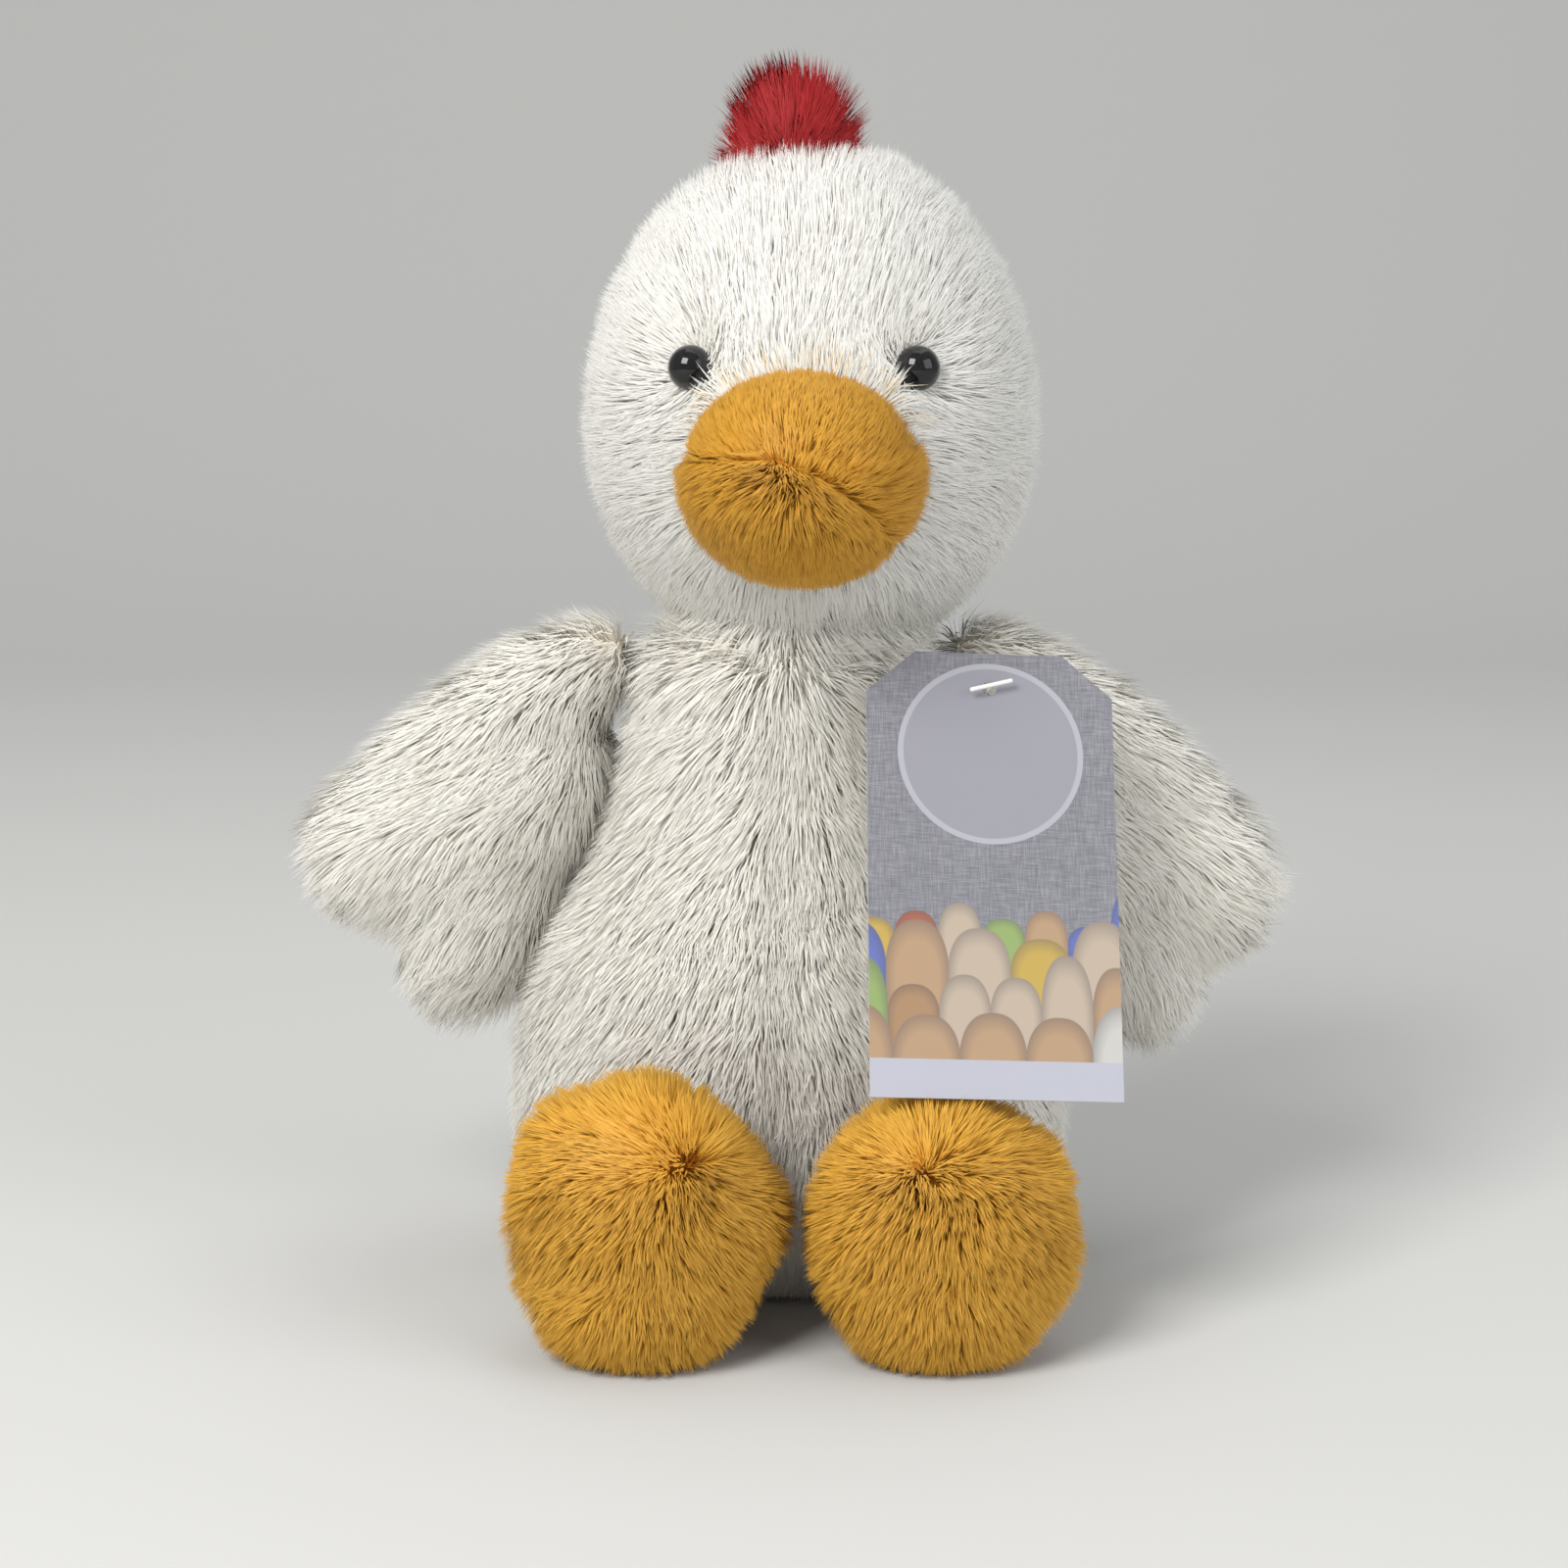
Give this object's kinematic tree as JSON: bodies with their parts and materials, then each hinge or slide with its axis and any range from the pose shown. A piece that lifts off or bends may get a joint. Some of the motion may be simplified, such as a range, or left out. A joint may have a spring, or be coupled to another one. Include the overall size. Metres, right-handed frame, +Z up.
{
  "type": "plush chicken",
  "caption": "Seated furry soft-toy chicken with turning, nodding head, flapping wings, splaying feet and a swing tag.",
  "frame": {"origin": "centre of the flat seat, on the surface the toy sits on", "axes": "+Z up through the head, -Y the way the face looks, +X the toy's own left"},
  "size_m": [0.2153, 0.146, 0.2655],
  "materials": {
    "head_fur": "long white faux fur",
    "body_fur": "long cream-white faux fur",
    "beak_fur": "short mustard faux fur",
    "foot_fur": "mustard faux fur",
    "comb_fur": "long red pile",
    "bead": "glossy black bead",
    "washer": "moulded locking washer",
    "stuffing": "polyester fibre filling",
    "pouch_cloth": "thin cloth bag of pellets",
    "tag_card": "printed card, grey linen pattern",
    "nylon": "translucent white nylon"
  },
  "bodies": {
    "torso": {"body_front_left": "body_fur", "body_front_right": "body_fur", "body_back_left": "body_fur", "body_back_right": "body_fur", "base_panel": "body_fur", "body_stuffing": "stuffing", "bean_pouch": "pouch_cloth", "fastener_anchor": "nylon"},
    "neck": {"neck_stuffing": "stuffing"},
    "head": {"head_front_left": "head_fur", "head_front_right": "head_fur", "head_back_left": "head_fur", "head_back_right": "head_fur", "head_stuffing": "stuffing", "eye_left": "bead", "eye_right": "bead", "eye_washer_left": "washer", "eye_washer_right": "washer", "beak_upper": "beak_fur", "beak_lower": "beak_fur", "beak_stuffing": "stuffing", "comb_front": "comb_fur", "comb_back": "comb_fur", "comb_stuffing": "stuffing"},
    "wing_left": {"wing_left_front": "body_fur", "wing_left_back": "body_fur", "wing_left_stuffing": "stuffing"},
    "wing_right": {"wing_right_front": "body_fur", "wing_right_back": "body_fur", "wing_right_stuffing": "stuffing"},
    "foot_left": {"foot_left_sole": "foot_fur", "foot_left_instep": "foot_fur", "foot_left_stuffing": "stuffing"},
    "foot_right": {"foot_right_sole": "foot_fur", "foot_right_instep": "foot_fur", "foot_right_stuffing": "stuffing"},
    "fastener": {"tag_fastener": "nylon"},
    "tag": {"swing_tag": "tag_card"}
  },
  "joints": [
    {"name": "head_turn", "type": "hinge", "parent": "torso", "child": "neck", "pos_m": [0.0025, 0, 0.148], "axis": [0, 0, 1], "range_deg": [-45, 45]},
    {"name": "head_nod", "type": "hinge", "parent": "neck", "child": "head", "pos_m": [0.0025, 0, 0.148], "axis": [-1, 0, 0], "range_deg": [-12, 10]},
    {"name": "wing_left_flap", "type": "hinge", "parent": "torso", "child": "wing_left", "pos_m": [0.0375, 0, 0.146], "axis": [0, -1, 0], "range_deg": [0, 70]},
    {"name": "wing_right_flap", "type": "hinge", "parent": "torso", "child": "wing_right", "pos_m": [-0.0375, 0, 0.146], "axis": [0, 1, 0], "range_deg": [0, 70]},
    {"name": "foot_left_splay", "type": "hinge", "parent": "torso", "child": "foot_left", "pos_m": [0.028, -0.05523, 0], "axis": [0, 0, 1], "range_deg": [0, 35]},
    {"name": "foot_right_splay", "type": "hinge", "parent": "torso", "child": "foot_right", "pos_m": [-0.028, -0.05523, 0], "axis": [0, 0, -1], "range_deg": [0, 35]},
    {"name": "tag_swing", "type": "hinge", "parent": "torso", "child": "fastener", "pos_m": [0.02521, -0.01679, 0.139], "axis": [0.1251, -0.89, 0.4384], "range_deg": [-10, 12]},
    {"name": "tag_lift", "type": "hinge", "parent": "fastener", "child": "tag", "pos_m": [0.044, -0.042, 0.14], "axis": [-0.9921, -0.1132, 0.0533], "range_deg": [0, 40]}
  ]
}
